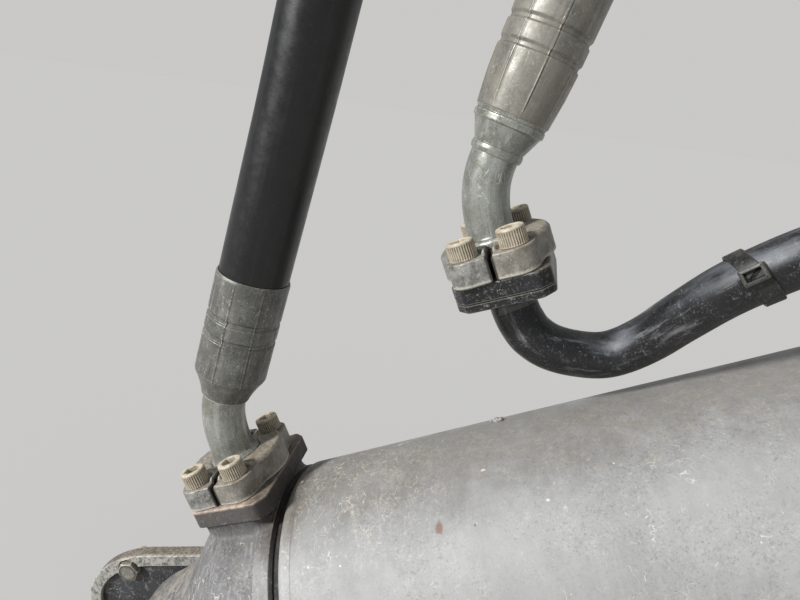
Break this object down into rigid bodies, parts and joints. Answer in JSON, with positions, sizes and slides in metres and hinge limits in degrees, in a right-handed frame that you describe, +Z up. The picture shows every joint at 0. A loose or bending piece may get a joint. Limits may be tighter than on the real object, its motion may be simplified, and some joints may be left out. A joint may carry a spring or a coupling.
{
  "type": "hoist cylinder of an articulated dump truck",
  "caption": "Double-acting hydraulic tipping cylinder with a flanged pivot pin, ported base casting, transfer pipe, split flange hose fittings and a rod eye.",
  "frame": {"origin": "centre of the back face of the pivot pin's flange, on the pin's axis, where it is bolted to the truck's frame", "axes": "+Z up, +Y through the flange into the truck's frame, +X towards the rod end; the cylinder rises at 27 degrees towards +X, as with the body down"},
  "size_m": [1.5189, 0.218, 0.8534],
  "materials": {
    "black_steel": "dusty satin black paint, worn at edges",
    "plain_bolt": "dull zinc with dust",
    "cast_paint": "weathered dark grey paint over a cast surface, dusty",
    "barrel_paint": "weathered dark grey paint, scuffed and dusty, rust specks",
    "bush": "machined",
    "seal": "matt black",
    "zinc_clamp": "dull zinc plate with dust",
    "flange_screw": "dull zinc, dusty",
    "zinc_tube": "bright zinc plate, slightly greenish",
    "ferrule": "dull grey zinc with dust",
    "hose": "smooth black cover",
    "black_pipe": "gloss black paint with dust and scratches",
    "tie": "black nylon strap",
    "chrome_rod": "hard chrome"
  },
  "bodies": {
    "pivot": {"pivot_pin": "black_steel", "pivot_bolts": "plain_bolt", "pin_cap": "black_steel", "pin_cap_bolt": "plain_bolt"},
    "barrel": {"base_casting": "cast_paint", "base_bush": "bush", "dust_ring": "seal", "barrel_tube": "barrel_paint", "gland": "barrel_paint", "gland_bolts": "plain_bolt", "wiper": "seal", "base_clamp_rear": "zinc_clamp", "base_clamp_front": "zinc_clamp", "base_clamp_screws": "flange_screw", "base_elbow": "zinc_tube", "base_ferrule": "ferrule", "base_hose": "hose", "base_hose_end": "ferrule", "pipe_adapter": "black_pipe", "transfer_pipe": "black_pipe", "pipe_tie": "tie", "pipe_saddles": "black_steel", "pipe_end_flange": "black_steel", "head_clamp_rear": "zinc_clamp", "head_clamp_front": "zinc_clamp", "head_clamp_screws": "flange_screw", "head_elbow": "zinc_tube", "head_ferrule": "ferrule"},
    "rod": {"rod": "chrome_rod", "piston": "bush", "rod_eye": "cast_paint", "rod_bush": "bush"}
  },
  "joints": [
    {"name": "swing", "type": "hinge", "parent": "pivot", "child": "barrel", "pos_m": [0, -0.059, 0], "axis": [0, -1, 0], "range_deg": [0, 38]},
    {"name": "extend", "type": "slide", "parent": "barrel", "child": "rod", "axis": [0.891, 0, 0.454], "range_m": [0, 1.05]}
  ]
}
